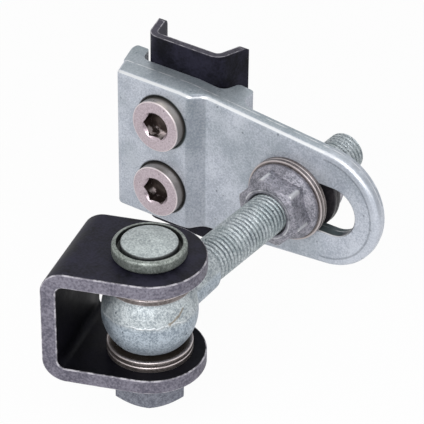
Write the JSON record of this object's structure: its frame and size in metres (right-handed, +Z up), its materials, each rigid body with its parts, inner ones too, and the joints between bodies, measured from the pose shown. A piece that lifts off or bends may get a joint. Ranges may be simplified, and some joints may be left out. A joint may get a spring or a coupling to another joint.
{
  "type": "adjustable gate hinge",
  "caption": "Weld-on gate hinge: a folded bracket swings on an eye bolt that a slotted plate carries in front of a post channel, adjustable in height, width and reach.",
  "frame": {"origin": "on the post's face, midway between the channel's flanges and at its mid height", "axes": "+Y into the post, +Z up along the swivel pin, +X along the plate's arm towards the gate side"},
  "size_m": [0.1222, 0.1591, 0.083],
  "materials": {
    "black_steel": "black weldable steel, satin",
    "galvanised_casting": "hot-dip galvanised, mottled",
    "galvanised_forging": "galvanised, mottled",
    "zinc_nut": "zinc plated, satin",
    "zinc_ring": "zinc plated, matt",
    "pin_zinc": "zinc plated, matt",
    "washer_steel": "bright steel",
    "screw_steel": "bright zinc plated",
    "bar_steel": "zinc plated, matt"
  },
  "bodies": {
    "post": {"post_channel": "black_steel"},
    "plate": {"hinge_plate": "galvanised_casting", "upper_cap_screw": "screw_steel", "lower_cap_screw": "screw_steel", "clamp_bar": "bar_steel"},
    "carriage": {"front_lock_ring_outer": "zinc_ring", "front_lock_ring_inner": "zinc_ring", "rear_lock_ring_inner": "zinc_ring", "rear_lock_ring_outer": "zinc_ring"},
    "front_nut": {"front_flange_nut": "zinc_nut"},
    "rear_nut": {"rear_flange_nut": "zinc_nut"},
    "bolt": {"eye_bolt": "galvanised_forging"},
    "gate": {"gate_bracket": "black_steel", "hinge_pin": "pin_zinc", "pin_collar": "pin_zinc", "pin_nut": "zinc_nut", "upper_washer_outer": "washer_steel", "lower_washer_outer": "washer_steel", "upper_washer_inner": "washer_steel", "lower_washer_inner": "washer_steel"}
  },
  "joints": [
    {"name": "height_slide", "type": "slide", "parent": "post", "child": "plate", "axis": [0, 0, 1], "range_m": [-0.008, 0.008]},
    {"name": "width_slide", "type": "slide", "parent": "plate", "child": "carriage", "axis": [1, 0, 0], "range_m": [-0.005, 0.019]},
    {"name": "front_nut_turn", "type": "hinge", "parent": "carriage", "child": "front_nut", "pos_m": [0.056, 0, 0], "axis": [0, -1, 0], "range_deg": [-2880, 6120]},
    {"name": "rear_nut_turn", "type": "hinge", "parent": "carriage", "child": "rear_nut", "pos_m": [0.056, 0, 0], "axis": [0, -1, 0], "range_deg": [-2880, 6120]},
    {"name": "reach_slide", "type": "slide", "parent": "carriage", "child": "bolt", "axis": [0, 1, 0], "range_m": [-0.016, 0.034]},
    {"name": "bracket_swivel", "type": "hinge", "parent": "bolt", "child": "gate", "pos_m": [0.056, -0.112, 0], "axis": [0, 0, 1], "range_deg": [-51, 194]}
  ],
  "couplings": [
    {"joint": "front_nut_turn", "follows": "reach_slide", "rad_per_m": 3141.6},
    {"joint": "rear_nut_turn", "follows": "reach_slide", "rad_per_m": 3141.6}
  ]
}
